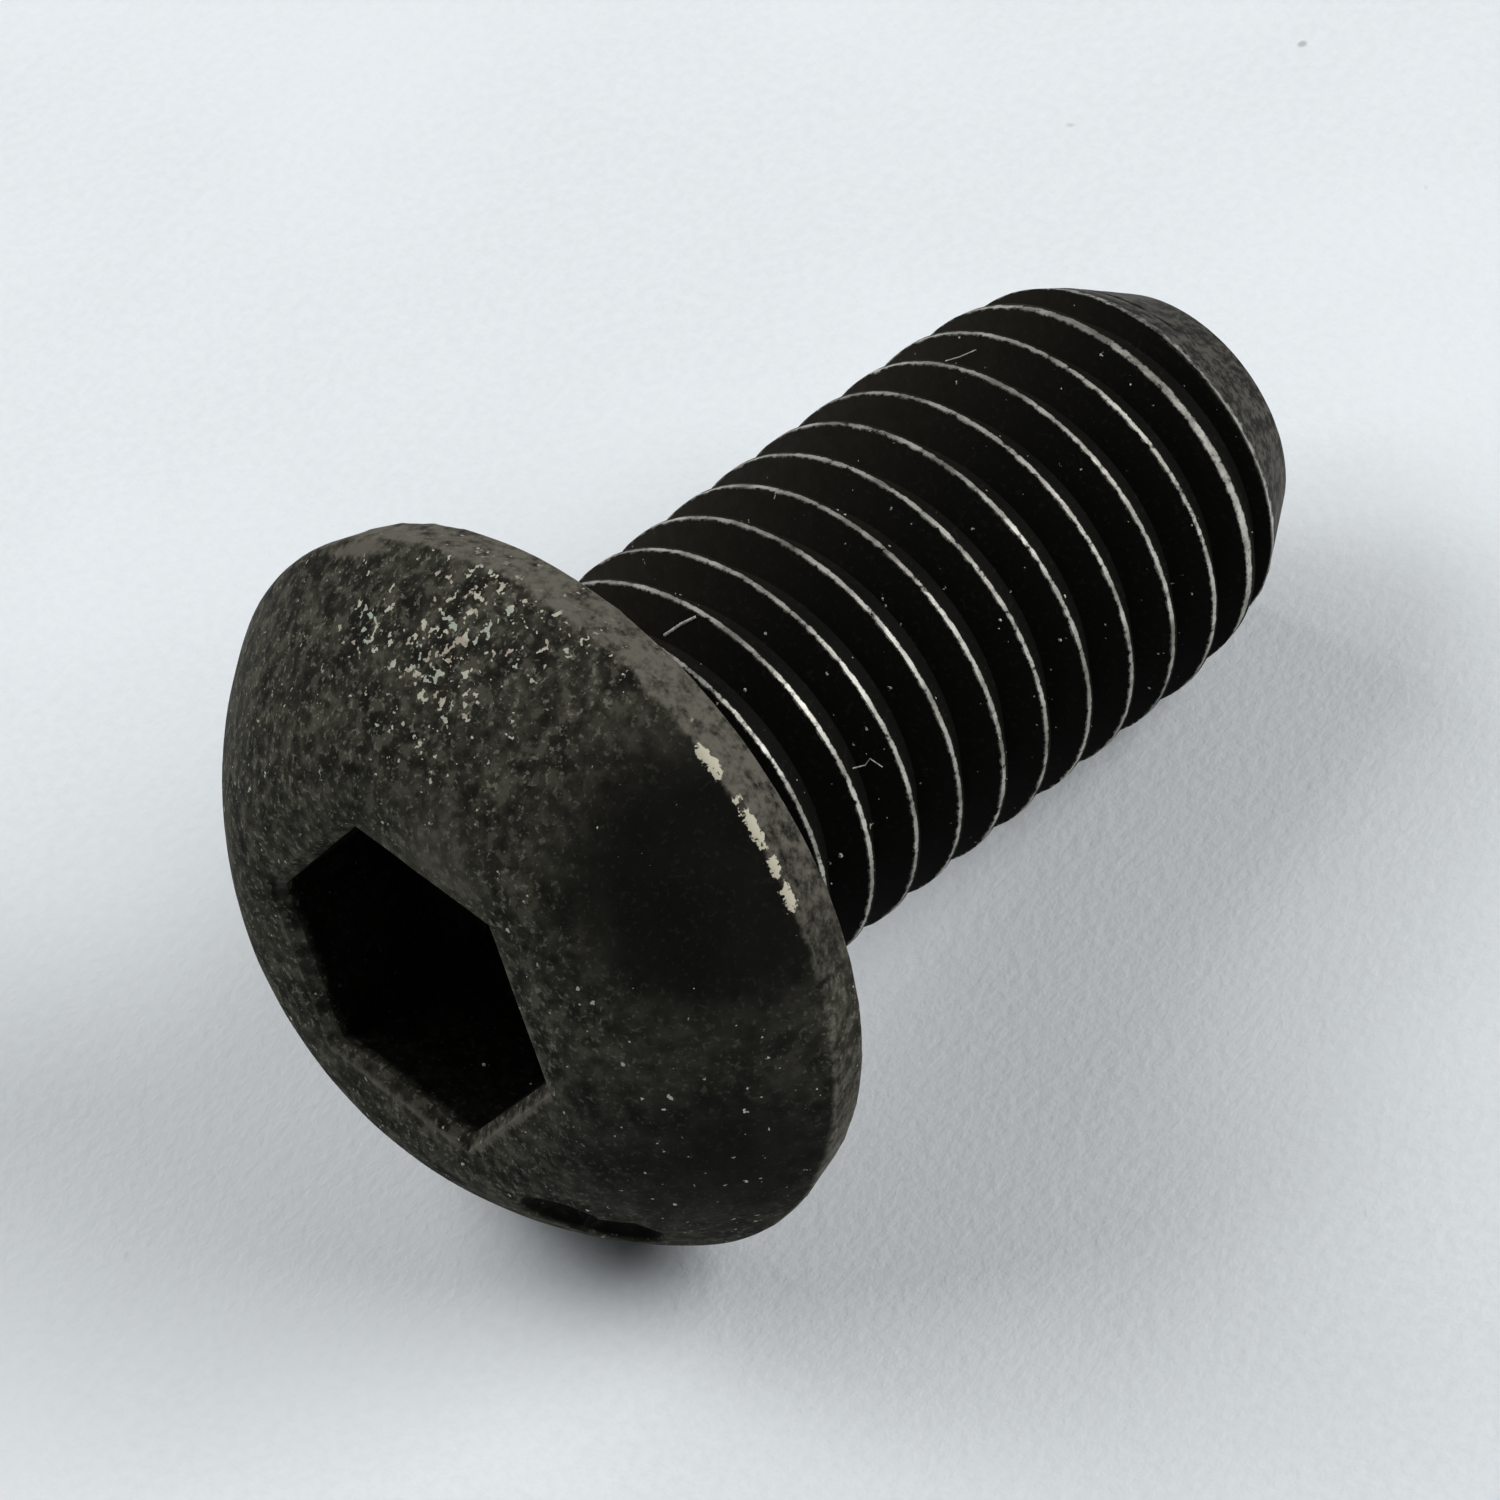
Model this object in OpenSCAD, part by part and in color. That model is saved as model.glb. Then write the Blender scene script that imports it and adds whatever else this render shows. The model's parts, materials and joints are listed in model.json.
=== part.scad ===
// Button head socket bolt, coarse metric thread, cut in one piece and lying at rest.
// The bolt is drawn along its own axis, with the bearing face at height 0,
// the head below it and the point above it, and is then laid on the ground.

/* [Thread] */
// Nominal thread diameter
thread_d = 12; // [11:0.1:13]
// Thread pitch
pitch = 1.75; // [1.6:0.05:2]
// How far the crests stay under the nominal diameter
crest_allowance = 0.08; // [0:0.02:0.3]
// Height of the first crest over the bearing face, on the zero side
first_crest = 1.4; // [1.2:0.05:2]
// Flat facets in each turn of the thread
turn_steps = 40; // [24:4:48]

/* [Shank] */
// Length from the bearing face to the end of the point
shank_l = 24.6; // [16:0.2:30]
// Length of the slight taper before the cone
taper_l = 2.4; // [1:0.1:4]
// How much the taper has taken off the crests where it meets the cone
taper_drop = 0.36; // [0.1:0.02:0.5]
// Length of the cone at the point
point_l = 2.6; // [2:0.1:4]
// Diameter of the flat end of the point
point_d = 8.1; // [6:0.1:9]
// Diameter of the plain neck under the head
neck_d = 10.8; // [10.4:0.1:11]
// Length of the plain neck under the head
neck_l = 0.9; // [0.7:0.1:1.5]
// Radius of the fillet under the head
neck_fillet = 0.6; // [0.4:0.05:0.8]

/* [Head] */
// Widest diameter of the head
head_d = 21; // [19:0.1:24]
// Height of the head over the bearing face
head_h = 5.9; // [5.6:0.1:7]
// Radius of the dome
dome_r = 12.1; // [12:0.1:14]
// Height of the bevelled land round the rim
land_h = 1.4; // [0.8:0.1:1.8]
// Diameter of the bearing face
face_d = 20.3; // [17:0.1:20.8]

/* [Socket] */
// Width of the hexagon across its flats
socket_s = 8; // [6:0.1:8.4]
// Depth of the straight walls of the hexagon
socket_depth = 4.2; // [3:0.1:4.6]
// Angle that the hexagon is turned about the axis
socket_turn = 1.4; // [-30:0.2:30]
// Width of the bevelled mouth across its flats
mouth_s = 8.6; // [8.4:0.1:9]
// Depth of the bevel at the mouth
mouth_h = 0.3; // [0.1:0.05:0.6]
// Diameter of the drilled cone in the bottom
drill_d = 7.6; // [3:0.1:7.6]
// Included angle of the drilled cone
drill_angle = 130; // [118:2:150]

/* [Dent] */
// Angle of the dent about the axis
dent_turn = 107; // [90:1:120]
// Distance of the dent's middle from the axis
dent_place = 8.1; // [7:0.1:8.8]
// Radius of each scoop that makes the dent
dent_r = 1.5; // [1:0.1:2.5]
// Depth of the dent
dent_depth = 0.5; // [0.1:0.05:0.6]
// Distance between the two scoops
dent_pitch = 1.5; // [0.8:0.1:2]

/* [Rest] */
// Angle about the axis of the side that the bolt lies on
ground_turn = 136; // [120:1:150]

/* [Hidden] */
$fn = 96;

// ISO basic profile: sixty degree flanks, crest an eighth and root a quarter of the pitch
flank_h = pitch * sqrt(3) / 2 * 5 / 8;
crest_r = (thread_d - crest_allowance) / 2;
root_r = crest_r - flank_h;
crest_half = pitch / 16;
root_half = pitch / 8;

point_r = point_d / 2;
taper_r = crest_r - taper_drop;
cone_start = shank_l - point_l;
taper_start = cone_start - taper_l;
taper_slope = taper_drop / taper_l;
cone_slope = (taper_r - point_r) / point_l;
// The envelope stands this far off the crests, so only its cones cut the thread
stand_off = 0.5;
cone_reach = (crest_r + stand_off - taper_r) / cone_slope;
// The run-out cone is at 45 degrees and starts this deep inside the neck
runout_sink = 0.4;

head_r = head_d / 2;
face_r = face_d / 2;
dome_z = sqrt(dome_r ^ 2 - head_r ^ 2) - land_h;
top_r = sqrt(dome_r ^ 2 - (dome_z + head_h) ^ 2);
socket_corner = socket_s / sqrt(3);
mouth_corner = mouth_s / sqrt(3);
// Growth of the mouth's corners for each millimetre of height
mouth_flare = (mouth_corner - socket_corner) / mouth_h;
drill_h = drill_d / 2 / tan(drill_angle / 2);
overcut = 1;

// Angle of the first facet's edge, set so that one facet lies flat on the ground
facet_turn = (ground_turn - 180 / turn_steps) % (360 / turn_steps);
// Turns of the helix, with one below the neck and one past the point
helix_start = first_crest + pitch * (facet_turn / 360 - 1 - ceil(first_crest / pitch));
helix_turns = ceil((shank_l - helix_start) / pitch) + 1;
helix_steps = helix_turns * turn_steps;

// How far the taper lowers the crests at height z
function lowered(z) = taper_slope * max(0, min(z, cone_start) - taper_start);
// How far up the flank that moves a crest's edge, which is on side -1 or 1 of the crest
function flank_cut(edge, side) = lowered(edge) / (1 / tan(30) - side * taper_slope);

// The bolt lies on its rim and on the last crest before the cone, on the middle of a facet
ground_crests = floor((cone_start - first_crest) / pitch - ground_turn / 360);
ground_crest = first_crest + pitch * (ground_turn / 360 + ground_crests);
ground_edge = ground_crest + crest_half;
ground_z = min(ground_edge + flank_cut(ground_edge, 1), cone_start);
ground_r = (crest_r - lowered(ground_z)) * cos(180 / turn_steps);
tilt = atan((head_r - ground_r) / (land_h + ground_z));
rest_z = head_r * cos(tilt) - land_h * sin(tilt);
rest_x_max = shank_l * cos(tilt) + point_r * sin(tilt);
rest_x_min = -head_h * cos(tilt) - top_r * sin(tilt);
rest_x = -(rest_x_max + rest_x_min) / 2;

function turned(r, a, z) = [r * cos(a), r * sin(a), z];

// The four corners of the thread form at one step along the helix
function corner(i) =
    let (
        z = helix_start + pitch * floor(i / 4) / turn_steps,
        a = facet_turn + 360 * (floor(i / 4) % turn_steps) / turn_steps,
        c = i % 4,
        side = c < 2 ? -1 : 1,
        edge = z + side * crest_half,
        cut = flank_cut(edge, side)
    )
    c == 1 || c == 2
        ? turned(crest_r - cut / tan(30), a, edge + side * cut)
        : turned(root_r, a, z + side * (pitch / 2 - root_half));

// Corner number c at step k, where number 4 is number 0 of the turn above
function at(k, c) = c < 4 ? 4 * k + c : 4 * (k + turn_steps) + c - 4;

module thread_body() {
    last = helix_steps + turn_steps;
    low = 4 * (last + 1);
    high = low + 1;
    points = concat(
        [for (i = [0 : low - 1]) corner(i)],
        [turned(0, 0, helix_start), turned(0, 0, helix_start + pitch * helix_turns)]
    );
    skin = [for (k = [0 : helix_steps - 1], c = [0 : 3]) each [
        [at(k, c), at(k, c + 1), at(k + 1, c)],
        [at(k + 1, c), at(k, c + 1), at(k + 1, c + 1)]
    ]];
    floor_fan = [for (k = [0 : turn_steps - 1]) [low, at(k, 0), at(k + 1, 0)]];
    floor_step = [for (c = [0 : 3]) [low, at(0, c + 1), at(0, c)]];
    roof_fan = [for (k = [0 : turn_steps - 1])
        [high, at(helix_steps + k + 1, 0), at(helix_steps + k, 0)]];
    roof_step = [for (c = [0 : 3]) [high, at(helix_steps, c), at(helix_steps, c + 1)]];
    polyhedron(points, concat(skin, floor_fan, floor_step, roof_fan, roof_step));
}

// Everything inside this turned shape stays: a run-out at the neck and a cone at the point
module shank_envelope() {
    rotate_extrude()
        polygon([
            [0, neck_l - runout_sink],
            [neck_d / 2 - runout_sink, neck_l - runout_sink],
            [crest_r + stand_off, neck_l + crest_r + stand_off - neck_d / 2],
            [crest_r + stand_off, cone_start - cone_reach],
            [point_r, shank_l],
            [0, shank_l]
        ]);
}

module threaded_shank() {
    intersection() {
        thread_body();
        shank_envelope();
    }
}

// Plain neck with the fillet that joins it to the bearing face
module neck() {
    fillet_x = neck_d / 2 + neck_fillet;
    rotate_extrude()
        difference() {
            translate([0, -overcut])
                square([fillet_x, neck_fillet + overcut]);
            translate([fillet_x, neck_fillet])
                circle(neck_fillet);
        }
    cylinder(h = neck_l, r = neck_d / 2);
}

// A blank with bevelled sides, with the dome cut from it
module head_blank() {
    blank_r = face_r + (head_r - face_r) * head_h / land_h;
    rotate_extrude()
        intersection() {
            polygon([[0, 0], [face_r, 0], [blank_r, -head_h], [0, -head_h]]);
            translate([0, dome_z])
                circle(dome_r);
        }
}

module socket() {
    translate([0, 0, -head_h])
        rotate([0, 0, socket_turn]) {
            translate([0, 0, -overcut])
                cylinder(h = overcut + socket_depth, r = socket_corner, $fn = 6);
            translate([0, 0, -overcut])
                cylinder(
                    h = overcut + mouth_h,
                    r1 = mouth_corner + overcut * mouth_flare,
                    r2 = socket_corner,
                    $fn = 6
                );
            translate([0, 0, socket_depth])
                cylinder(h = drill_h, r1 = drill_d / 2, r2 = 0);
        }
}

// Two overlapping scoops knocked out of the dome, side by side
module dent() {
    lean = asin(dent_place / dome_r);
    for (side = [-1, 1])
        rotate([0, 0, dent_turn])
            translate([0, 0, dome_z])
                rotate([0, 180 - lean - side * dent_pitch / dome_r * 28.6, 0])
                    rotate([side * 4, 0, 0])
                        translate([0, 0, dome_r + dent_r - dent_depth])
                            sphere(dent_r);
}

module bolt() {
    color([0.11, 0.105, 0.1])
        translate([rest_x, 0, rest_z])
            rotate([0, 90 + tilt, 0])
                rotate([0, 0, -ground_turn])
                    difference() {
                        union() {
                            head_blank();
                            neck();
                            threaded_shank();
                        }
                        socket();
                        dent();
                    }
}

bolt();
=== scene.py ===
import json
import math
import random

import bmesh
import bpy
from mathutils import Matrix, Vector, noise
from mathutils.bvhtree import BVHTree


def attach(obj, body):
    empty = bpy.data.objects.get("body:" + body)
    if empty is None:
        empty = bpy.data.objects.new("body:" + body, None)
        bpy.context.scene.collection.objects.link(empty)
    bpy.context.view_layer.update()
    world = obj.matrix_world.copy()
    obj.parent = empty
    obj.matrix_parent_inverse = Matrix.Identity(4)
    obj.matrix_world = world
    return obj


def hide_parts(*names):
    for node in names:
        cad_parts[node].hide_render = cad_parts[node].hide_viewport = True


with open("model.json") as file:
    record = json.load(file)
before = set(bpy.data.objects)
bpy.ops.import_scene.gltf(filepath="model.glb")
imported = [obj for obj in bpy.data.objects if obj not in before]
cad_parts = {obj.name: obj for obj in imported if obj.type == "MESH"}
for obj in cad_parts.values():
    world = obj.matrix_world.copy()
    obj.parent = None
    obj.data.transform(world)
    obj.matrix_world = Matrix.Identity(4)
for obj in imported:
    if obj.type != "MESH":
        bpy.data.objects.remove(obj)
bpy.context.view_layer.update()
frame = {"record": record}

mm = 0.001
sharpAngle = 40
random.seed(11)

# The bolt is modelled in millimetres along its own axis: the bearing face is at height 0,
# the head is below it, and the side that lies on the ground faces +X.
mounts = {mount["name"]: mount for mount in frame["record"]["mounts"]}


def boltPlacement():
    axis = Vector(mounts["thread"]["axis"]).normalized()
    onAxis = Vector(mounts["thread"]["pos_m"])
    onFace = Vector(mounts["bearing_face"]["pos_m"])
    origin = onAxis + axis * (onFace - onAxis).dot(axis)
    side = Vector((0, 1, 0))
    turn = Matrix((side.cross(axis).normalized(), side, axis)).transposed()
    return Matrix.Translation(origin) @ turn.to_4x4()


placement = boltPlacement()


# Points, outlines and open loops.

def polar(radius, degrees, height):
    angle = math.radians(degrees)
    return Vector((radius * math.cos(angle), radius * math.sin(angle), height))


def chain(bm, points):
    verts = [bm.verts.new((r, 0, z)) for r, z in points]
    edges = [bm.edges.new(pair) for pair in zip(verts, verts[1:])]
    return verts + edges


def line(start, end, count):
    return [(start[0] + (end[0] - start[0]) * i / count, start[1] + (end[1] - start[1]) * i / count)
            for i in range(count + 1)]


def arc(centre, radius, start, end, count):
    angles = [math.radians(start + (end - start) * i / count) for i in range(count + 1)]
    return [(centre[0] + radius * math.cos(a), centre[1] + radius * math.sin(a)) for a in angles]


def joined(*parts):
    out = []
    for point in (p for part in parts for p in part):
        if not out or math.dist(point, out[-1]) > 1e-4:
            out.append(point)
    return out


def openLoop(bm, height, reach=1e-3):
    return [e for e in bm.edges if e.is_boundary and all(abs(v.co.z - height) < reach for v in e.verts)]


def extrudeLoop(bm, loop, place):
    made = bmesh.ops.extrude_edge_only(bm, edges=loop)["geom"]
    fresh = [g for g in made if isinstance(g, bmesh.types.BMVert)]
    for v in fresh:
        v.co = place(v.co)
    kept = set(fresh)
    return [g for g in made if isinstance(g, bmesh.types.BMEdge) and kept.issuperset(g.verts)]


def finishPiece(bm, name, material):
    bmesh.ops.transform(bm, matrix=placement @ Matrix.Scale(mm, 4), verts=bm.verts)
    mesh = bpy.data.meshes.new(name)
    bm.to_mesh(mesh)
    bm.free()
    mesh.polygons.foreach_set("use_smooth", [True] * len(mesh.polygons))
    mesh.set_sharp_from_angle(angle=math.radians(sharpAngle))
    mesh.materials.append(material)
    piece = bpy.data.objects.new(name, mesh)
    bpy.context.scene.collection.objects.link(piece)
    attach(piece, "root")
    return piece


# A socket that can stand in a sum, and the maker of a material's nodes.

class Wire:
    def __init__(self, shader, socket):
        self.shader, self.socket = shader, socket

    def math(self, operation, *others):
        sockets = {i: other for i, other in enumerate((self,) + others)}
        return self.shader.node("Math", {"operation": operation}, sockets)

    def __add__(self, other):
        return self.math("ADD", other)

    def __sub__(self, other):
        return self.math("SUBTRACT", other)

    def __mul__(self, other):
        return self.math("MULTIPLY", other)

    def __truediv__(self, other):
        return self.math("DIVIDE", other)

    def __rsub__(self, other):
        return self.math("MULTIPLY_ADD", -1, other)

    __radd__ = __add__
    __rmul__ = __mul__

    def between(self, low, high):
        settings = {"interpolation_type": "SMOOTHSTEP"}
        return self.shader.node("MapRange", settings, {"Value": self, "From Min": low, "From Max": high})


class Shader:
    def __init__(self, name):
        self.material = bpy.data.materials.new(name)
        self.material.use_nodes = True
        self.tree = self.material.node_tree
        self.tree.nodes.clear()

    def node(self, kind, settings=None, sockets=None, output=0):
        made = self.tree.nodes.new("ShaderNode" + kind)
        for key, value in (settings or {}).items():
            setattr(made, key, value)
        for key, value in (sockets or {}).items():
            if isinstance(value, Wire):
                self.tree.links.new(value.socket, made.inputs[key])
            else:
                made.inputs[key].default_value = value
        return Wire(self, made.outputs[output]) if made.outputs else None

    def mix(self, factor, low, high):
        low, high = (c if isinstance(c, Wire) else (*c, 1) for c in (low, high))
        return self.node("Mix", {"data_type": "RGBA"}, {0: factor, 6: low, 7: high}, 2)

    def noise(self, place, scale, detail, roughness):
        sockets = {"Vector": place, "Scale": scale, "Detail": detail, "Roughness": roughness}
        return self.node("TexNoise", {}, sockets)

    def bump(self, height, distance, strength):
        return self.node("Bump", {}, {"Height": height, "Distance": distance, "Strength": strength})

    def nearTo(self, place, spot, reach):
        away = self.node("VectorMath", {"operation": "DISTANCE"}, {0: place, 1: spot}, 1)
        return (1 - away / reach).between(0, 1)

    def boltPlace(self):
        settings = {"vector_type": "TEXTURE"}
        sockets = {
            "Vector": self.node("TexCoord", output=3),
            "Location": placement.translation,
            "Rotation": placement.to_euler(),
            "Scale": (mm, mm, mm),
        }
        return self.node("Mapping", settings, sockets)

    def finish(self, sockets):
        surface = self.node("BsdfPrincipled", {}, sockets)
        self.node("OutputMaterial", {}, {"Surface": surface})
        return self.material


# The head, the neck, the socket and the dent, in millimetres.

head = {
    "radius": 10.5,
    "height": 5.9,
    "domeRadius": 12.1,
    "shoulderRound": 2.5,
    "landHeight": 1.4,
    "faceRadius": 10.15,
    "segments": 288,
    "shoulderRings": 8,
    "domeRings": 30,
    "landRings": 6,
    "faceRings": 10,
    "rimRound": 0.16,
    "rimSegments": 4,
}
neck = {"radius": 5.4, "length": 0.9, "fillet": 0.6, "filletRings": 6, "rings": 2}
socket = {
    "across": 8.0,
    "mouth": 8.6,
    "bevel": 0.3,
    "depth": 4.2,
    "turn": 1.4,
    "coneRadius": 3.8,
    "coneAngle": 130,
    "topShares": (0.3, 0.6, 0.85, 1.0),
    "bevelShares": (0.5, 1.0),
    "wallRings": 14,
    "coneShares": (1.0, 0.8, 0.6, 0.4, 0.2, 0.05),
}
dent = {
    "scoops": ((7.3, -27.5), (8.5, -31.5)),
    "radius": 1.5,
    "depth": 0.55,
    "lip": 0.07,
    "lipReach": 0.45,
    "lipUneven": (0.6, 0.8),  # the least height, and how much the noise adds
    "soften": 0.12,
    "refined": 2.6,
}
# The side that the bolt lies on is at this angle from where its hexagon and thread are measured.
groundTurn = 136.0
socketTurn = socket["turn"] - groundTurn


def domeCentre():
    return math.sqrt(head["domeRadius"] ** 2 - head["radius"] ** 2) - head["landHeight"]


def onDome(radius, degrees, lift=0.0):
    lean = math.asin(radius / head["domeRadius"])
    reach = head["domeRadius"] + lift
    return polar(reach * math.sin(lean), degrees, domeCentre() - reach * math.cos(lean))


def hexRadius(across, degrees):
    sector = (degrees - socketTurn) % 60 - 30
    return across / 2 / math.cos(math.radians(sector))


def turnOf(co):
    return math.degrees(math.atan2(co.y, co.x))


def headProfile():
    top, dome, blend = -head["height"], head["domeRadius"], head["shoulderRound"]
    blendAt = math.sqrt((dome - blend) ** 2 - (domeCentre() - top - blend) ** 2)
    meet = math.degrees(math.atan2(top + blend - domeCentre(), blendAt))
    rim = math.degrees(math.asin(head["radius"] / dome)) - 90
    face, root, fillet = head["faceRadius"], neck["radius"], neck["fillet"]
    return joined(
        arc((blendAt, top + blend), blend, -90, meet, head["shoulderRings"]),
        arc((0, domeCentre()), dome, meet, rim, head["domeRings"]),
        line((head["radius"], -head["landHeight"]), (face, 0), head["landRings"]),
        line((face, 0), (root + fillet, 0), head["faceRings"]),
        arc((root + fillet, fillet), fillet, -90, -180, neck["filletRings"]),
        line((root, fillet), (root, neck["length"]), neck["rings"]),
    )


def circleEdges(bm, radius, height):
    def onCircle(v):
        return abs(v.co.z - height) < 1e-3 and abs(v.co.xy.length - radius) < 1e-3
    return [e for e in bm.edges if all(onCircle(v) for v in e.verts)]


def sinkSocket(bm):
    top = -head["height"]
    loop = openLoop(bm, top)
    flat = max(v.co.xy.length for e in loop for v in e.verts)
    for share in socket["topShares"]:
        loop = extrudeLoop(bm, loop, lambda co: polar(
            flat + (hexRadius(socket["mouth"], turnOf(co)) - flat) * share, turnOf(co), top))
    for share in socket["bevelShares"]:
        across = socket["mouth"] + (socket["across"] - socket["mouth"]) * share
        loop = extrudeLoop(bm, loop, lambda co: polar(
            hexRadius(across, turnOf(co)), turnOf(co), top + socket["bevel"] * share))
    for i in range(1, socket["wallRings"] + 1):
        height = top + socket["bevel"] + (socket["depth"] - socket["bevel"]) * i / socket["wallRings"]
        loop = extrudeLoop(bm, loop, lambda co: Vector((co.x, co.y, height)))
    bottom = top + socket["depth"]
    steepness = math.tan(math.radians(socket["coneAngle"] / 2))
    for share in socket["coneShares"]:
        radius = socket["coneRadius"] * share
        loop = extrudeLoop(bm, loop, lambda co: polar(
            radius, turnOf(co), bottom + (socket["coneRadius"] - radius) / steepness))
    bmesh.ops.contextual_create(bm, geom=loop)


def strikeDent(bm):
    radii, turns = zip(*dent["scoops"])
    middle = onDome(sum(radii) / 2, sum(turns) / 2)
    near = [e for e in bm.edges if all((v.co - middle).length < dent["refined"] for v in e.verts)]
    bmesh.ops.subdivide_edges(bm, edges=near, cuts=2, use_grid_fill=True)
    recessShadeLayer = bm.verts.layers.float.new("recessShade")
    centre = Vector((0, 0, domeCentre()))
    balls = [onDome(r, turn, dent["radius"] - dent["depth"]) for r, turn in dent["scoops"]]
    least, more = dent["lipUneven"]
    for v in bm.verts:
        if v.co.z > -head["landHeight"] or (v.co - middle).length > dent["refined"]:
            continue
        out = (v.co - centre).normalized()
        gap = min((v.co - ball).length for ball in balls) - dent["radius"]
        if 0 <= gap < dent["lipReach"]:
            uneven = least + more * noise.noise(v.co * 2.0)
            v.co += out * dent["lip"] * (1 - gap / dent["lipReach"]) * uneven
        for ball in balls:
            away = v.co - ball
            if away.length < dent["radius"]:
                # painted shade: the inside of the dent is marked to be painted near black
                v[recessShadeLayer] = min(1.0, (dent["radius"] - away.length) / dent["soften"])
                v.co = ball + away.normalized() * dent["radius"]


def headMesh():
    bm = bmesh.new()
    bmesh.ops.spin(bm, geom=chain(bm, headProfile()), cent=(0, 0, 0), axis=(0, 0, 1),
                   angle=math.tau, steps=head["segments"], use_merge=True)
    bmesh.ops.remove_doubles(bm, verts=bm.verts, dist=1e-5)
    rims = circleEdges(bm, head["radius"], -head["landHeight"]) + circleEdges(bm, head["faceRadius"], 0)
    bmesh.ops.bevel(bm, geom=rims, offset=head["rimRound"], offset_type="OFFSET", profile=0.5,
                    segments=head["rimSegments"], affect="EDGES", material=-1)
    turn = Matrix.Rotation(math.radians(socketTurn), 3, "Z")
    bmesh.ops.rotate(bm, cent=(0, 0, 0), matrix=turn, verts=bm.verts)
    sinkSocket(bm)
    strikeDent(bm)
    bmesh.ops.recalc_face_normals(bm, faces=bm.faces)
    return bm


# The thread with its taper and its point, in millimetres.

thread = {
    "crest": 5.96,
    "pitch": 1.75,
    "firstCrest": 1.4,
    "steps": 120,
    "flankRows": 6,
    "crestRows": 4,
    "rootRows": 3,
    "length": 24.6,
    "taperLength": 2.4,
    "taperRadius": 5.6,
    "pointLength": 2.6,
    "pointRadius": 4.05,
    "endRise": 0.06,
    "endRings": ((0.05, 0.04), (0.15, 0.06), (1.2, 0.05), (2.4, 0.05), (3.8, 0.05)),  # (inset, rise)
}
# basic profile: the crest is an eighth of the pitch wide and the root a quarter
thread["root"] = thread["crest"] - thread["pitch"] * math.sqrt(3) / 2 * 5 / 8
crestHalf = thread["pitch"] / 16
rootEdge = 3 * thread["pitch"] / 8
flankSlope = math.tan(math.radians(30))
coneStart = thread["length"] - thread["pointLength"]
coneSlope = (thread["taperRadius"] - thread["pointRadius"]) / thread["pointLength"]
taperSlope = (thread["crest"] - thread["taperRadius"]) / thread["taperLength"]


def coneLine(z):
    return thread["taperRadius"] - (z - coneStart) * coneSlope


def taperLine(z):
    return thread["taperRadius"] - (z - coneStart) * taperSlope


def runOut(z):
    return neck["radius"] + z - neck["length"]


def neckLine(z):
    return neck["radius"] - max(0.0, z - neck["length"])


def flankTop(middle, side):
    # where the crest's edge lies once the run-out, the taper and the cone have cut it
    edge = middle + side * crestHalf
    drop = max(
        0.0,
        (thread["crest"] - coneLine(edge)) / (1 / flankSlope - side * coneSlope),
        (thread["crest"] - taperLine(edge)) / (1 / flankSlope - side * taperSlope),
        (thread["crest"] - runOut(edge)) / (1 / flankSlope + side),
    )
    drop = min(drop, (thread["crest"] - thread["root"]) * flankSlope)
    return thread["crest"] - drop / flankSlope, edge + side * drop


def threadSection(middle):
    # radius and height of each row, from the root below this crest to the root above it
    pitch, root = thread["pitch"], thread["root"]
    low, high = flankTop(middle, -1), flankTop(middle, 1)
    rootLow, rootHigh = (root, middle - rootEdge), (root, middle + rootEdge)
    rows = line((root, middle - pitch / 2), rootLow, thread["rootRows"])
    rows += line(rootLow, low, thread["flankRows"])[1:]
    rows += line(low, high, thread["crestRows"])[1:]
    rows += line(high, rootHigh, thread["flankRows"])[1:]
    rows += line(rootHigh, (root, middle + pitch / 2), thread["rootRows"])[1:]
    return rows


def threadMesh():
    bm = bmesh.new()
    pitch, steps = thread["pitch"], thread["steps"]
    first = thread["firstCrest"] + pitch * (groundTurn / 360 - 2)
    turns = math.ceil((thread["length"] - first) / pitch) + 1
    section = threadSection(first)
    rowLayer = bm.verts.layers.int.new("row")
    stepLayer = bm.verts.layers.int.new("step")
    geom = chain(bm, section)
    for i, v in enumerate(geom[:len(section)]):
        v[rowLayer] = i
    bmesh.ops.spin(bm, geom=geom, cent=(0, 0, 0), axis=(0, 0, 1), dvec=(0, 0, pitch / steps),
                   angle=math.tau, steps=steps, use_merge=False)
    for v in bm.verts:
        v[stepLayer] = round((v.co.z - section[v[rowLayer]][1]) / pitch * steps)
    oneTurn = bm.verts[:] + bm.edges[:] + bm.faces[:]
    for i in range(1, turns):
        copied = bmesh.ops.duplicate(bm, geom=oneTurn)["geom"]
        for v in (g for g in copied if isinstance(g, bmesh.types.BMVert)):
            v[stepLayer] += i * steps
    sections = [threadSection(first + i * pitch / steps) for i in range(turns * steps + 1)]
    for v in bm.verts:
        radius, z = sections[v[stepLayer]][v[rowLayer]]
        radius = max(min(radius, taperLine(z), coneLine(z)), neckLine(z))
        v.co = polar(radius, 360 * (v[stepLayer] % steps) / steps, z)
    bmesh.ops.remove_doubles(bm, verts=bm.verts, dist=2e-4)
    for height, upwards in ((neck["length"], -1), (thread["length"], 1)):
        bmesh.ops.bisect_plane(bm, geom=bm.verts[:] + bm.edges[:] + bm.faces[:], dist=1e-5,
                               plane_co=(0, 0, height), plane_no=(0, 0, upwards), clear_outer=True)
    return bm


def closePoint(bm):
    loop = openLoop(bm, thread["length"])
    for inset, rise in thread["endRings"]:
        radius = thread["pointRadius"] - inset
        height = thread["length"] + rise - thread["endRise"]
        loop = extrudeLoop(bm, loop, lambda co: polar(radius, turnOf(co), height))
    bmesh.ops.contextual_create(bm, geom=loop)


# Where the bolt is worn, and where its painted highlights and painted shade go, as shares from 0 to 1 that
# the finish reads.

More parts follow.
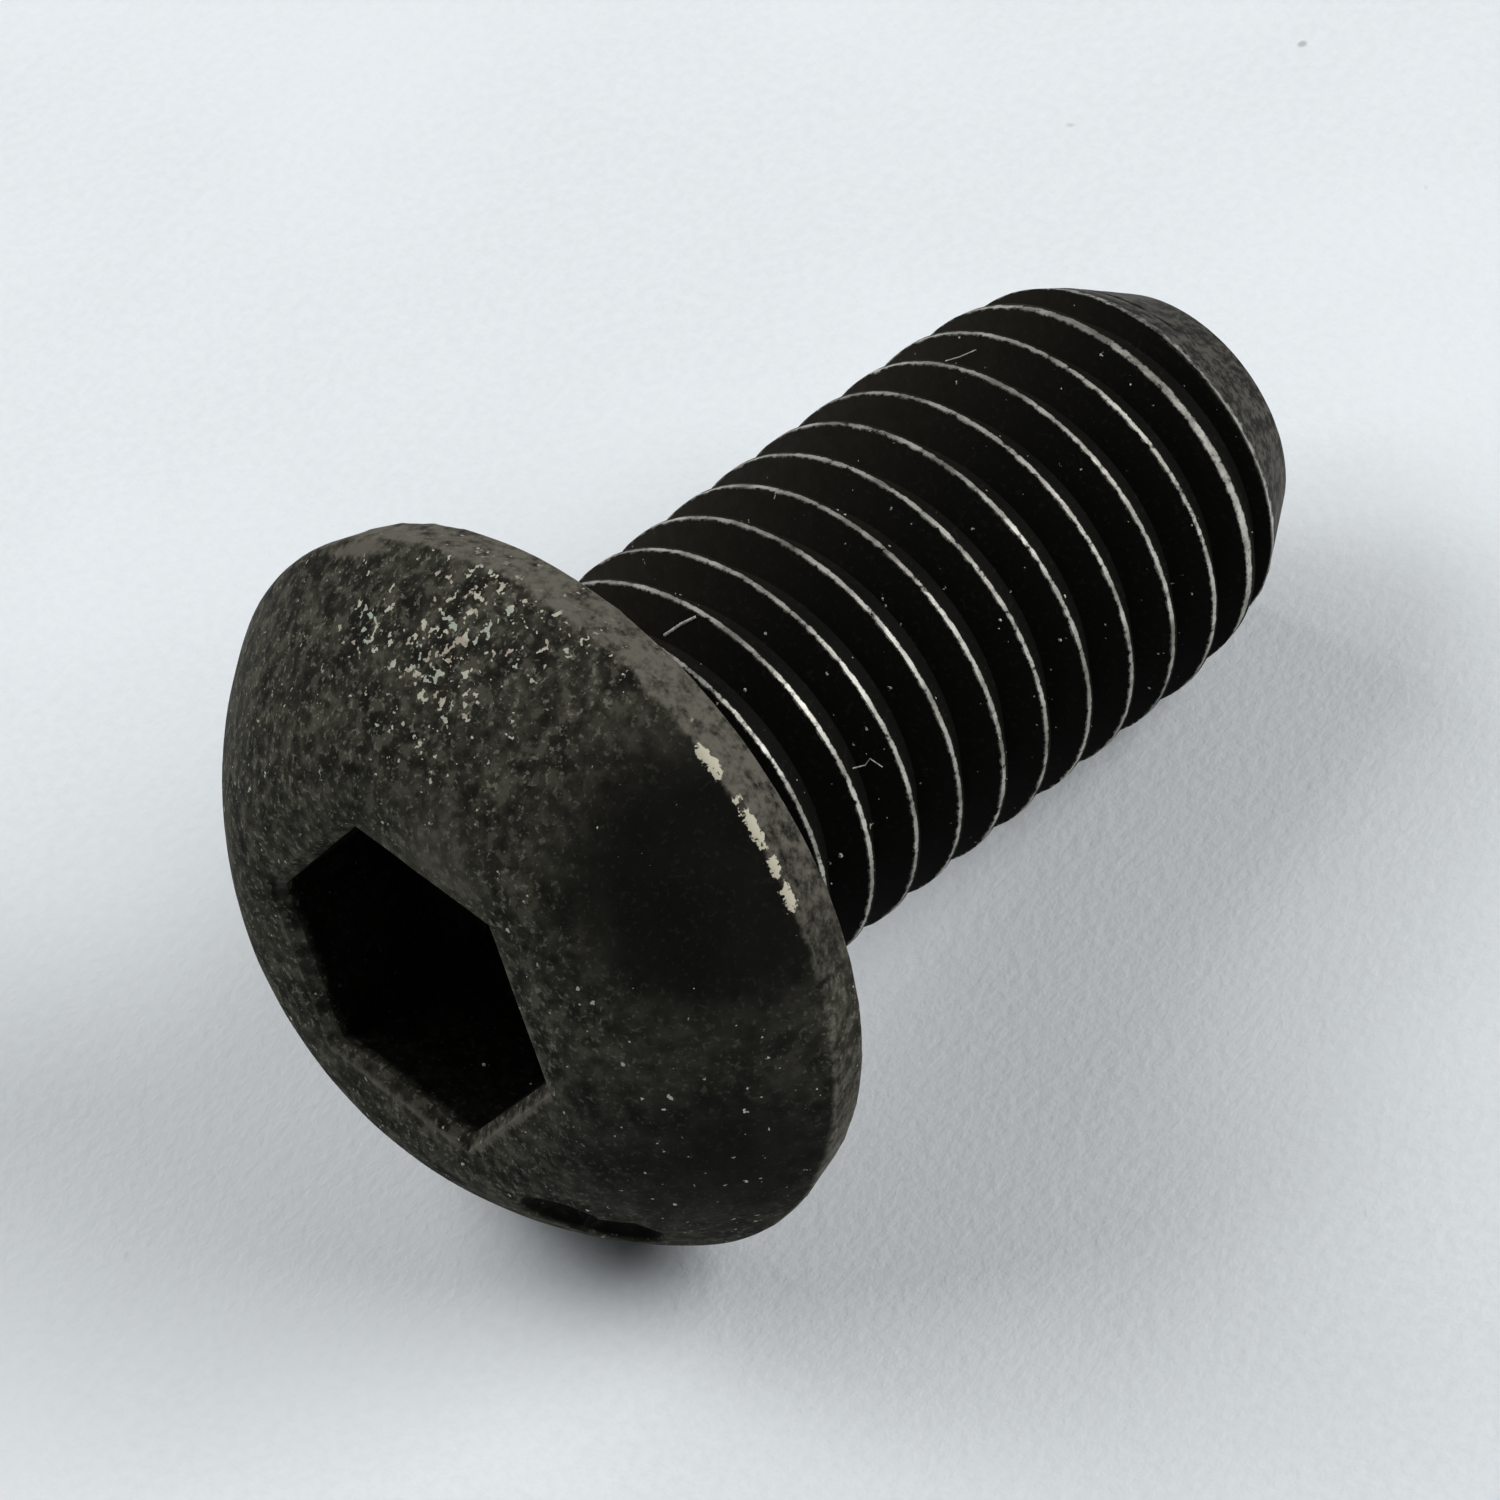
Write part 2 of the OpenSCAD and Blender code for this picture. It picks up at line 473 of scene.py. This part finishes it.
wear = {
    "wornBy": {"rim": 0.8, "land": 0.88, "mouth": 1.1, "strip": 1.7},  # what each counts for
    "grain": (0.005, 3.0),  # from here down to crestNick: depth and scale of the noise
    "swell": (0.012, 0.8),
    "rimNick": (0.1, 1.6),
    "crestWander": (0.02, 2.2),
    "crestNick": (0.07, 3.1),
    "nickFrom": {"rim": 0.2, "crest": 0.3},
    "crestRows": (0.75, 1.0, 1.0, 0.45, 0.0),
    "coneRows": (1.3, 0.5, 0.1, 0.0, 0.0),
    "crestFrom": 0.35,
    "endClear": 0.1,
    "coneBlend": 0.3,
    "shelter": (3, 0.3),  # reach from the head, and how much it spares the crests
    "coneSkin": 0.02,
    "socketInset": (0.05, 0.02),
    "strip": (158.0, 9.0),
    "stripPlace": (0.2, 0.25),
    "stripReach": 0.5,
    "rimReach": 0.3,
    "landInset": 0.05,
    "landEdge": 0.2,
    "landDim": (-92.0, 36.0, 0.5),  # turn, reach and the share that is left there
    "mouthTurn": -35.0,
    "mouthDepth": 0.1,
    "mouthReach": 0.35,
    "mouthShares": (0.3, 0.7),
    "rubbed": ((-134.5, 3.4), (-128.2, 1.4), (-123.4, 4.0), (-117.4, 1.8), (-113.0, 2.6)),
    "rubPlace": (0.03, 0.02),
    "rubReach": 0.27,
}


def crestShare(row, z):
    # 1 along the middle of the thread's crests, and only on their near edge where the cone has cut them; the
    # crests are worn metal with a painted highlight
    step = row - thread["rootRows"] - thread["flankRows"]
    if z < neck["length"] + wear["crestFrom"] or z > thread["length"] - wear["endClear"]:
        return 0.0
    if not 0 <= step < len(wear["crestRows"]) or coneLine(z) < thread["root"]:
        return 0.0
    whole, cut = wear["crestRows"][step], wear["coneRows"][step]
    share = whole + (cut - whole) * max(0.0, min(1.0, (z - coneStart) / wear["coneBlend"]))
    reach, spared = wear["shelter"]
    sheltered = max(0.0, 1 - (z - neck["length"]) / reach)
    return share * (1 - spared * sheltered)


def tipShare(co):
    # 1 on the cone at the point and on its flat end
    onCone = co.z > coneStart and co.xy.length > coneLine(co.z) - wear["coneSkin"]
    return 1.0 if onCone or co.z > thread["length"] - wear["endClear"] else 0.0


def leeShare(row, z):
    # 1 on the flanks that face the point, which are kept out of the painted light on the flanks
    pastCrest = row > thread["rootRows"] + thread["flankRows"] + thread["crestRows"]
    return 1.0 if z > neck["length"] and pastCrest else 0.0


def socketShare(co):
    # 1 on the walls and the bottom of the socket, which are painted with shade
    inset, drop = wear["socketInset"]
    inside = co.xy.length < socket["mouth"] / math.sqrt(3) - inset and co.z < 0
    return 1.0 if inside and co.z > -head["height"] + socket["bevel"] + drop else 0.0


def stripShare(co):
    # 1 along the worn strip at the edge of the dome
    turn, reach = wear["strip"]
    inset, rise = wear["stripPlace"]
    away = math.dist((co.xy.length, co.z), (head["radius"] - inset, -head["landHeight"] - rise))
    along = max(0.0, 1 - (abs(turnOf(co) - turn) / reach) ** 2)
    return along * max(0.0, 1 - away / wear["stripReach"])


def rimShare(co):
    # 1 on the two edges of the land round the rim
    radius = co.xy.length
    upper = math.dist((radius, co.z), (head["radius"], -head["landHeight"]))
    lower = math.dist((radius, co.z), (head["faceRadius"], 0))
    return max(0.0, 1 - min(upper, lower) / wear["rimReach"])


def landShare(co):
    # 1 on the bevelled land round the rim, and less where it is least worn; its paler colour is partly wear
    # and partly painted light
    if co.xy.length < head["faceRadius"] - wear["landInset"]:
        return 0.0
    turn, reach, least = wear["landDim"]
    share = least + (1 - least) * min(1.0, abs(turnOf(co) - turn) / reach)
    edge = wear["landEdge"]
    return share * max(0.0, min(1.0, (co.z + head["landHeight"] + edge) / edge))


def mouthShare(co):
    # 1 on the upper edge of the socket's bevel, and less away from its most worn side; its pale edge is
    # partly wear and partly a painted highlight
    if co.z > -head["height"] + socket["bevel"] + wear["mouthDepth"] or co.xy.length > head["radius"] / 2:
        return 0.0
    gap = abs(co.xy.length - hexRadius(socket["mouth"], turnOf(co))) + abs(co.z + head["height"])
    side = 0.5 + 0.5 * math.cos(math.radians(turnOf(co) - wear["mouthTurn"]))
    least, more = wear["mouthShares"]
    return max(0.0, 1 - gap / wear["mouthReach"]) * (least + more * side)


def bareShare(co):
    # 1 where the rim's upper edge is rubbed down to pale metal
    inset, rise = wear["rubPlace"]
    upper = math.dist((co.xy.length, co.z), (head["radius"] - inset, -head["landHeight"] - rise))
    if upper > wear["rubReach"]:
        return 0.0
    spans = (1 - (abs(turnOf(co) - turn) / reach) ** 4 for turn, reach in wear["rubbed"])
    return max(0.0, max(spans)) * (1 - (upper / wear["rubReach"]) ** 2)


def pushOf(co, rim, crest):
    # how far the wear moves a point outwards
    depth, scale = wear["grain"]
    push = depth * noise.noise(co * scale)
    if co.z < 0:
        depth, scale = wear["swell"]
        push += depth * noise.noise(co * scale)
    depth, scale = wear["rimNick"]
    push -= rim * depth * max(0.0, noise.noise(co * scale) - wear["nickFrom"]["rim"])
    depth, scale = wear["crestWander"]
    push += crest * depth * noise.noise(co * scale)
    depth, scale = wear["crestNick"]
    elsewhere = Vector((7, 0, 0))  # so that the nicks don't follow the other noises
    push -= crest * depth * max(0.0, noise.noise(co * scale + elsewhere) - wear["nickFrom"]["crest"])
    return push


def wearDown(bm):
    bm.normal_update()
    rowLayer = bm.verts.layers.int["row"]
    layers = {name: bm.verts.layers.float.new(name) for name in ("wearAndSheen", "crest", "bare", "tip", "lee")}
    recessShadeLayer = bm.verts.layers.float["recessShade"]
    counts = wear["wornBy"]
    moves = []
    for v in bm.verts:
        rim, crest = rimShare(v.co), crestShare(v[rowLayer], v.co.z)
        v[layers["crest"]] = crest
        v[layers["wearAndSheen"]] = max(rim * counts["rim"], landShare(v.co) * counts["land"],
                                mouthShare(v.co) * counts["mouth"], stripShare(v.co) * counts["strip"])
        v[layers["tip"]] = tipShare(v.co)
        v[layers["lee"]] = leeShare(v[rowLayer], v.co.z)
        # painted shade: the socket is marked along with the dent, to be painted near black
        v[recessShadeLayer] = max(v[recessShadeLayer], socketShare(v.co))
        v[layers["bare"]] = bareShare(v.co)
        moves.append(v.normal * pushOf(v.co, rim, crest))
    for v, move in zip(bm.verts, moves):
        v.co += move


def boltMesh():
    bm = threadMesh()
    closePoint(bm)
    spare = bpy.data.meshes.new("spareHead")
    top = headMesh()
    top.to_mesh(spare)
    top.free()
    bm.from_mesh(spare)
    bpy.data.meshes.remove(spare)
    bmesh.ops.bridge_loops(bm, edges=openLoop(bm, neck["length"]))
    bmesh.ops.recalc_face_normals(bm, faces=bm.faces)
    wearDown(bm)
    print("open edges", sum(not e.is_manifold for e in bm.edges),
          "triangles", sum(len(f.verts) - 2 for f in bm.faces))
    return bm


# Dust on the bolt: fibres run through (turn, height), and specks are (turn, height, size).
dust = {
    "fibres": (
        {"radius": 0.045, "points": ((-174.6, 4.14), (-170.9, 4.38), (-167.8, 4.57))},
        {"radius": 0.018, "points": ((-107.3, 6.0), (-106.9, 6.25), (-108.6, 6.34), (-105.4, 6.47))},
        {"radius": 0.022, "points": ((157.4, 18.11), (163.0, 18.18), (168.7, 18.32))},
    ),
    "specks": ((-87.4, 4.65, 0.08), (-145.1, 4.31, 0.05), (-119.4, 11.76, 0.05), (-103.8, 13.49, 0.06)),
    "inSocket": ((3.0, -3.66, 0.06), (-13.0, -3.26, 0.04)),
    "scattered": 45,
    "scatterTurns": (-230, -60),
    "scatterSize": (0.014, 0.04),
    "segments": 6,
    "thinning": 0.9,
    "squash": (0.7, 1.3),
    "flatness": 0.8,
}


def landOn(tree, turn, height, fromAxis=False):
    outward = polar(1, turn, 0)
    start = Vector((0, 0, height)) if fromAxis else outward * 15 + Vector((0, 0, height))
    return tree.ray_cast(start, outward if fromAxis else -outward)[0]


def addFibre(bm, points, radius):
    for start, end in zip(points, points[1:]):
        way = end - start
        turn = way.to_track_quat("Z", "Y").to_matrix().to_4x4()
        bmesh.ops.create_cone(bm, cap_ends=True, segments=dust["segments"],
                              radius1=radius, radius2=radius * dust["thinning"],
                              depth=way.length + radius, matrix=Matrix.Translation((start + end) / 2) @ turn)


def addSpeck(bm, place, size):
    wide, deep = random.uniform(*dust["squash"]), random.uniform(*dust["squash"])
    squash = Matrix.Diagonal((wide, deep, dust["flatness"], 1))
    bmesh.ops.create_icosphere(bm, subdivisions=1, radius=size, matrix=Matrix.Translation(place) @ squash)


def dustMesh(boltBm):
    tree = BVHTree.FromBMesh(boltBm)
    bm = bmesh.new()
    for fibre in dust["fibres"]:
        addFibre(bm, [landOn(tree, *point) for point in fibre["points"]], fibre["radius"])
    for turn, height, size in dust["specks"]:
        addSpeck(bm, landOn(tree, turn, height), size)
    for turn, height, size in dust["inSocket"]:
        addSpeck(bm, landOn(tree, turn, height, True), size)
    for _ in range(dust["scattered"]):
        height = random.uniform(neck["length"] + 0.5, coneStart)
        addSpeck(bm, landOn(tree, random.uniform(*dust["scatterTurns"]), height),
                 random.uniform(*dust["scatterSize"]))
    return bm


# The finishes: a spot is its middle and how far it reaches, in millimetres.

oxide = {
    "smooth": ((-4.8, -8.4, -2.7), 6.6),
    # painted shade: round this spot, on the dome's lower side, the head is kept darker
    "shadedSide": ((3.5, -8.6, -3.5), 7.0),
    "specks": ((-9.2, -0.6, -2.9), 5.4),
    "clusters": (((-10.1, -1.0, -2.0), 1.7), ((-8.8, -0.7, -3.6), 2.3), ((-8.7, 2.2, -3.5), 1.6),
                 ((-9.9, -3.3, -1.6), 1.5), ((0.8, -7.7, -4.7), 1.2)),
    "black": (0.0062, 0.0061, 0.0052),
    "grey": (0.045, 0.043, 0.033),
    # painted light: the paler colour of the head's lit parts
    "paintedLight": (0.135, 0.128, 0.100),
    "dusty": (0.165, 0.160, 0.127),
    "flecks": ((0.62, 0.61, 0.48), (0.48, 0.42, 0.34), (0.47, 0.52, 0.43)),
    # the colour of wear, which on the land and the socket's mouth is partly painted light
    "wearAndSheen": (0.125, 0.116, 0.094),
    "bare": (0.56, 0.53, 0.41),
    # painted shade: the near black of the socket and the inside of the dent
    "recessShadeColour": (0.002, 0.002, 0.0018),
    # painted light: the colour the thread's flanks take on their lit side
    "flank": (0.032, 0.0285, 0.0215),
    # painted highlight: the spot round the socket's mouth that is made paler
    "collarHighlight": ((-4.6, -2.0, -5.9), 2.2),
    "tip": ((0.013, 0.012, 0.010), (0.078, 0.073, 0.061)),
    # the crests' worn metal, paled into a painted highlight
    "crest": ((0.20, 0.19, 0.165), (0.52, 0.51, 0.46)),
    "noises": {  # scale for each millimetre, detail and roughness
        "mottle": (0.7, 5, 0.65),
        "patches": (2.4, 3, 0.6),
        "grain": (6.0, 3, 0.65),
        "flecks": (3.7, 2, 0.6),
        "ragged": (9.0, 2, 0.6),
        "tint": (1.7, 1, 0.5),
        "uneven": (3.4, 4, 0.7),
    },
    "bump": (0.00004, 0.5),
    "specular": 0.012,
}


def blackOxide():
    shader = Shader("blackOxide")
    place = shader.boltPlace()
    crest, wearAndSheen, bare, recessShade, tip, lee = (
        shader.node("Attribute", {"attribute_name": name}, output=2)
        for name in ("crest", "wearAndSheen", "bare", "recessShade", "tip", "lee"))
    height = shader.node("SeparateXYZ", {}, {0: place}, 2)
    sideways = shader.node("SeparateXYZ", {}, {0: place}, 1)
    onHead = 1 - height.between(-0.1, 0.3)
    calm = shader.nearTo(place, *oxide["smooth"]).between(0.0, 0.75)
    # Painted shade: the dome is kept darker round the shaded spot; otherwise this share marks the rough part
    # of the head.
    roughAndShade = (1 - calm * 0.94) * (1 - shader.nearTo(place, *oxide["shadedSide"]) * 0.9)
    roughAndShade = roughAndShade * onHead
    cluster = shader.nearTo(place, *oxide["specks"])
    for spot in oxide["clusters"]:
        cluster = cluster + shader.nearTo(place, *spot)
    mottle, patches, grain, flecks, ragged, tint, uneven = (
        shader.noise(place, *oxide["noises"][name])
        for name in ("mottle", "patches", "grain", "flecks", "ragged", "tint", "uneven"))
    colour = shader.mix(roughAndShade * (0.2 + mottle.between(0.3, 0.7)), oxide["black"], oxide["grey"])
    # Painted light: the lit parts of the head are made paler, in mottled patches over its rough part.
    paintedLight = patches.between(0.50, 0.62) * roughAndShade * roughAndShade * (0.5 + cluster * 0.04)
    colour = shader.mix(paintedLight * 0.7, colour, oxide["paintedLight"])
    colour = shader.mix(grain.between(0.56, 0.66) * (0.03 + roughAndShade * roughAndShade * 0.8), colour, oxide["dusty"])
    colour = shader.mix((1 - patches).between(0.5, 0.66) * roughAndShade * 0.6, colour, oxide["black"])
    # Painted highlight on the flat round the socket's mouth.
    collarHighlight = shader.nearTo(place, *oxide["collarHighlight"]) * (0.2 + patches)
    colour = shader.mix(collarHighlight * 0.6, colour, oxide["paintedLight"])
    # Painted light: the thread's flanks are made paler towards their lit side, all but those that face the
    # point.
    flank = sideways.between(-4.0, 6.0) * (1 - onHead) * (0.3 + patches)
    colour = shader.mix(flank * 0.9 * (1 - lee), colour, oxide["flank"])
    cream, tan, green = oxide["flecks"]
    fleckColour = shader.mix(tint.between(0.38, 0.5), green, cream)
    fleckColour = shader.mix(tint.between(0.5, 0.62), fleckColour, tan)
    fleck = (flecks + cluster * 0.083 * onHead - calm * 0.05 - (1 - onHead) * 0.025).between(0.70, 0.735)
    colour = shader.mix(fleck * 0.8, colour, fleckColour)
    # Wear on the rim and the strip; on the land and the socket's mouth this paler colour is partly painted
    # light.
    rubAndSheen = wearAndSheen * (patches * 1.8 + grain * 1.2 - 0.55)
    colour = shader.mix(rubAndSheen.between(0.30, 1.1) * 0.9, colour, oxide["wearAndSheen"])
    scuff = (patches * 0.6 + grain * 0.6).between(0.50, 0.72)
    colour = shader.mix(tip, colour, shader.mix(scuff, *oxide["tip"]))
    pale = (bare + (patches - 0.5) * 1.3 + (ragged - 0.5) * 1.4).between(0.62, 0.78)
    colour = shader.mix(pale * 0.85, colour, oxide["bare"])
    # Painted shade: the socket and the inside of the dent are painted near black.
    colour = shader.mix(recessShade * 0.9, colour, oxide["recessShadeColour"])
    # The crests worn to bare metal, their pale colour partly a painted highlight.
    crestMetalAndGlint = (crest * (uneven + (ragged - 0.5) * 0.3)).between(0.27, 0.49)
    colour = shader.mix(crestMetalAndGlint, colour, shader.mix(mottle.between(0.35, 0.65), *oxide["crest"]))
    bump = shader.bump(grain * (0.2 + roughAndShade) + fleck * 0.4, *oxide["bump"])
    return shader.finish({
        "Base Color": colour,
        "Roughness": 0.45 + roughAndShade * 0.15 + (grain - 0.5) * 0.3,
        "Metallic": crestMetalAndGlint * 0.5,
        "Specular IOR Level": oxide["specular"],
        "Normal": bump,
    })


fluff = {"tone": (8.0, 2, 0.5), "dark": (0.30, 0.30, 0.27), "light": (0.62, 0.62, 0.57)}


def lint():
    shader = Shader("lint")
    place = shader.boltPlace()
    tone = shader.noise(place, *fluff["tone"])
    return shader.finish({
        "Base Color": shader.mix(tone.between(0.3, 0.7), fluff["dark"], fluff["light"]),
        "Roughness": 0.9,
        "Specular IOR Level": 0.1,
    })


sheet = {
    "size": 3,
    "grain": (2600, 4, 0.6),  # these three are scale for each metre, detail and roughness
    "blotch": (60, 3, 0.5),
    "crumbs": (420, 1, 0.5),
    "tones": ((0.755, 0.790, 0.815), (0.795, 0.832, 0.858), (0.83, 0.865, 0.89)),
    "crumb": (0.20, 0.20, 0.20),
    "bump": (0.00008, 0.5),
}


def paper():
    shader = Shader("paper")
    place = shader.node("TexCoord", output=3)
    grain = shader.noise(place, *sheet["grain"])
    blotch = shader.noise(place, *sheet["blotch"])
    crumbs = shader.noise(place, *sheet["crumbs"]).between(0.80, 0.82)
    dull, pale, bright = sheet["tones"]
    pale = shader.mix(blotch.between(0.35, 0.7), dull, pale)
    pale = shader.mix(grain.between(0.3, 0.7) * 0.5, pale, bright)
    return shader.finish({
        "Base Color": shader.mix(crumbs * 0.5, pale, sheet["crumb"]),
        "Roughness": 0.85,
        "Specular IOR Level": 0.2,
        "Normal": shader.bump(grain, *sheet["bump"]),
    })


# The camera, the lights and the floor.

camera = {
    "lens": 164.78,
    "location": (-79.523, -107.294, 131.349),
    "azimuth": 54.218,
    "elevation": 42.983,
    "roll": -19.743,
    "sensor": 36,
    "nearest": 0.005,
    "farthest": 20,
}
lights = {
    "distance": 400,
    "size": (250, 200),
    "windows": (
        {"name": "windowLeft", "azimuth": 90, "elevation": 35, "power": 0.66},
        {"name": "windowHigh", "azimuth": 120, "elevation": 55, "power": 0.53},
        {"name": "windowRight", "azimuth": 300, "elevation": 35, "power": 1.31},
    ),
    "skyColour": (0.9, 0.95, 1.0, 1),
    "skyStrength": 0.11,
}


def heading(azimuth, elevation):
    a, e = math.radians(azimuth), math.radians(elevation)
    return Vector((math.cos(e) * math.cos(a), math.cos(e) * math.sin(a), math.sin(e)))


def buildCamera():
    data = bpy.data.cameras.new("camera")
    data.lens = camera["lens"]
    data.sensor_width = camera["sensor"]
    data.clip_start = camera["nearest"]
    data.clip_end = camera["farthest"]
    lens = bpy.data.objects.new("camera", data)
    bpy.context.scene.collection.objects.link(lens)
    view = heading(camera["azimuth"], -camera["elevation"])
    turn = view.to_track_quat("-Z", "Y").to_matrix() @ Matrix.Rotation(math.radians(camera["roll"]), 3, "Z")
    lens.matrix_world = Matrix.Translation(Vector(camera["location"]) * mm) @ turn.to_4x4()
    bpy.context.scene.camera = lens


def buildLights():
    for light in lights["windows"]:
        data = bpy.data.lights.new(light["name"], "AREA")
        data.shape = "RECTANGLE"
        data.size, data.size_y = (side * mm for side in lights["size"])
        data.energy = light["power"]
        lamp = bpy.data.objects.new(light["name"], data)
        bpy.context.scene.collection.objects.link(lamp)
        out = heading(light["azimuth"], light["elevation"])
        turn = (-out).to_track_quat("-Z", "Y").to_matrix().to_4x4()
        lamp.matrix_world = Matrix.Translation(out * lights["distance"] * mm) @ turn
    world = bpy.data.worlds.new("room")
    world.use_nodes = True
    back = world.node_tree.nodes["Background"]
    back.inputs["Color"].default_value = lights["skyColour"]
    back.inputs["Strength"].default_value = lights["skyStrength"]
    bpy.context.scene.world = world


def buildFloor():
    bm = bmesh.new()
    bmesh.ops.create_grid(bm, x_segments=2, y_segments=2, size=sheet["size"])
    mesh = bpy.data.meshes.new("floor")
    bm.to_mesh(mesh)
    bm.free()
    mesh.materials.append(paper())
    floor = bpy.data.objects.new("floor", mesh)
    bpy.context.scene.collection.objects.link(floor)


buildCamera()
buildLights()
buildFloor()
print("room built")

boltBm = boltMesh()
dustBm = dustMesh(boltBm)
bolt = finishPiece(boltBm, "boltBody", blackOxide())
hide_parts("bolt")
print("bolt built")
specks = finishPiece(dustBm, "dust", lint())
print("dust laid on")

bpy.context.scene.view_settings.view_transform = "Standard"
